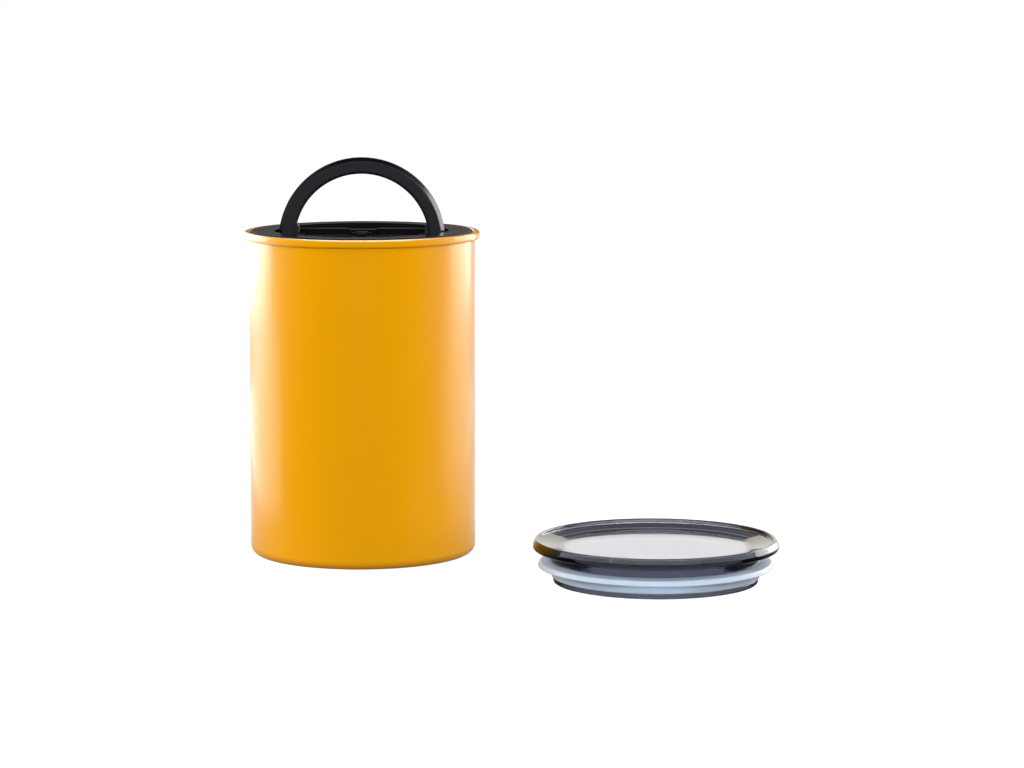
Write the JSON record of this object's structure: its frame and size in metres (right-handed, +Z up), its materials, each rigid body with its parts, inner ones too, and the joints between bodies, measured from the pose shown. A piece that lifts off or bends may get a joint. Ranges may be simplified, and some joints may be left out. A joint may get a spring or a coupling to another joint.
{
  "type": "coffee canister",
  "caption": "Coated steel canister with a rolled rim, a plunger lid whose folding ring handle works a vent valve, and a loose clear outer lid with a flap gasket.",
  "frame": {"origin": "centre of the canister's base, on the surface that it stands on", "axes": "+Z up along the canister's axis, +X to the right and -Y towards the camera of the picture; the loose outer lid lies on the same surface to the right and in front"},
  "size_m": [0.2829, 0.2152, 0.2144],
  "materials": {
    "coated_steel": "satin yellow powder coat outside, bare brushed steel inside",
    "black_plastic": "fine satin texture",
    "black_silicone": "matt",
    "screw_steel": "plain zinc grey",
    "black_acetal": "smooth satin",
    "smoke_plastic": "clear smoke grey, polished",
    "milky_silicone": "translucent, satin"
  },
  "bodies": {
    "canister": {"canister_shell": "coated_steel"},
    "plunger_lid": {"lid_top": "black_plastic", "deck_plate": "black_plastic", "bottom_cover": "black_plastic", "wiper_gasket": "black_silicone", "cover_screws": "screw_steel", "bearing_left": "black_plastic", "bearing_right": "black_plastic", "bearing_screws": "screw_steel", "deck_screws": "screw_steel", "stem_bush": "black_acetal"},
    "handle": {"handle": "black_plastic", "shaft_left": "black_acetal", "shaft_right": "black_acetal", "crank_pin": "screw_steel"},
    "valve": {"valve_stem": "black_acetal", "valve_plug": "black_silicone", "plug_clip": "screw_steel"},
    "outer_lid": {"outer_lid_shell": "smoke_plastic", "outer_lid_gasket": "milky_silicone"}
  },
  "joints": [
    {"name": "plunger_slide", "type": "slide", "parent": "canister", "child": "plunger_lid", "axis": [0, 0, 1], "range_m": [-0.142, 0.09]},
    {"name": "handle_fold", "type": "hinge", "parent": "plunger_lid", "child": "handle", "pos_m": [0, 0.00181, 0.1695], "axis": [1, 0, 0], "range_deg": [0, 90]},
    {"name": "valve_lift", "type": "slide", "parent": "plunger_lid", "child": "valve", "axis": [0, 0, 1], "range_m": [-0.003, 0]},
    {"name": "outer_lid_pickup", "type": "slide", "parent": "canister", "child": "outer_lid", "axis": [0, 0, 1], "range_m": [0, 0.25]}
  ],
  "couplings": [
    {"joint": "valve_lift", "follows": "handle_fold", "m_per_rad": -0.0019087}
  ]
}
